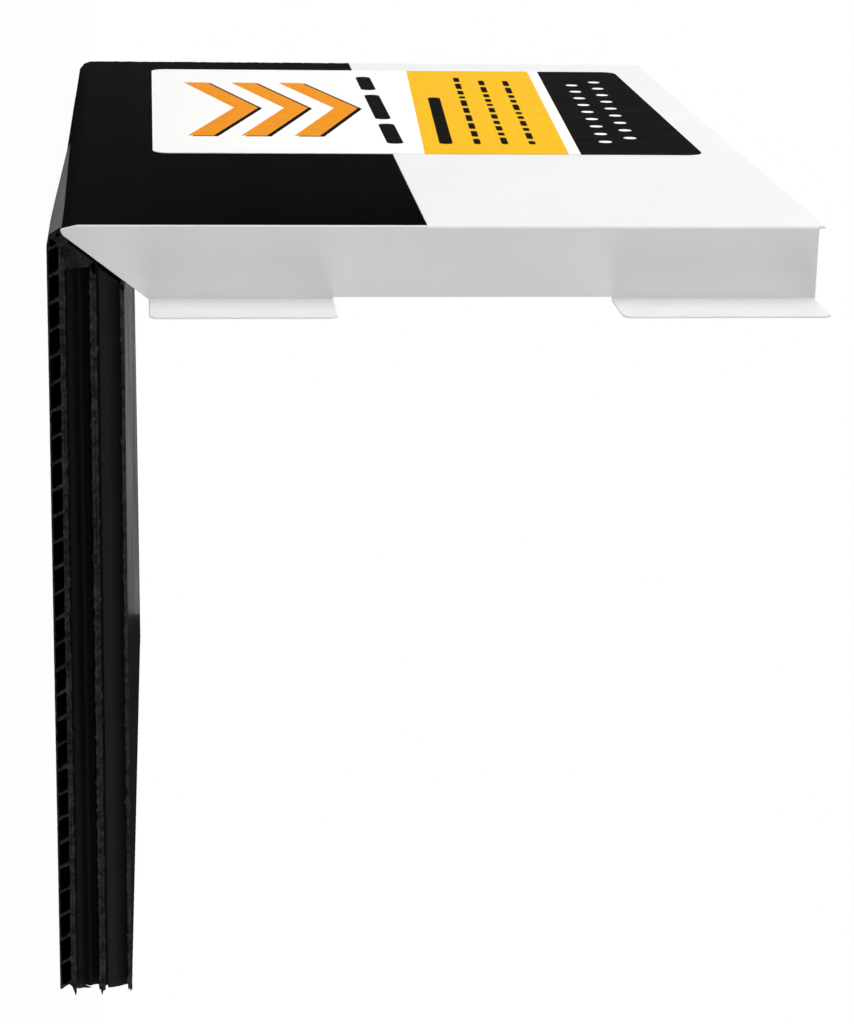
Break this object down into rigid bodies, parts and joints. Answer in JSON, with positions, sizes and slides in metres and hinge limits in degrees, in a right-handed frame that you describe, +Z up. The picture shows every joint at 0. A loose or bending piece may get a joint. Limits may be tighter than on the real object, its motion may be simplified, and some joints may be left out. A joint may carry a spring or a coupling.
{
  "type": "coping vent",
  "caption": "L-shaped parapet coping vent: a folded white channel arm with outturned nailing tabs and a black leg of layered fluted plastic sheet.",
  "frame": {"origin": "middle of the base that the leg's outer face rests on, under the middle of the overall length", "axes": "+X along the leg from the bend to the foot, +Y along the depth, +Z up along the arm"},
  "size_m": [0.1802, 0.287, 0.17],
  "materials": {
    "white_sheet": "satin white coating",
    "black_sheet": "extruded polypropylene, low sheen",
    "black_panel": "extruded polypropylene, sawn edges",
    "label_film": "printed film"
  },
  "bodies": {
    "root": {"channel": "white_sheet", "outer_fluted_sheet": "black_sheet", "middle_panel": "black_panel", "inner_panel": "black_panel", "label": "label_film"}
  },
  "joints": []
}
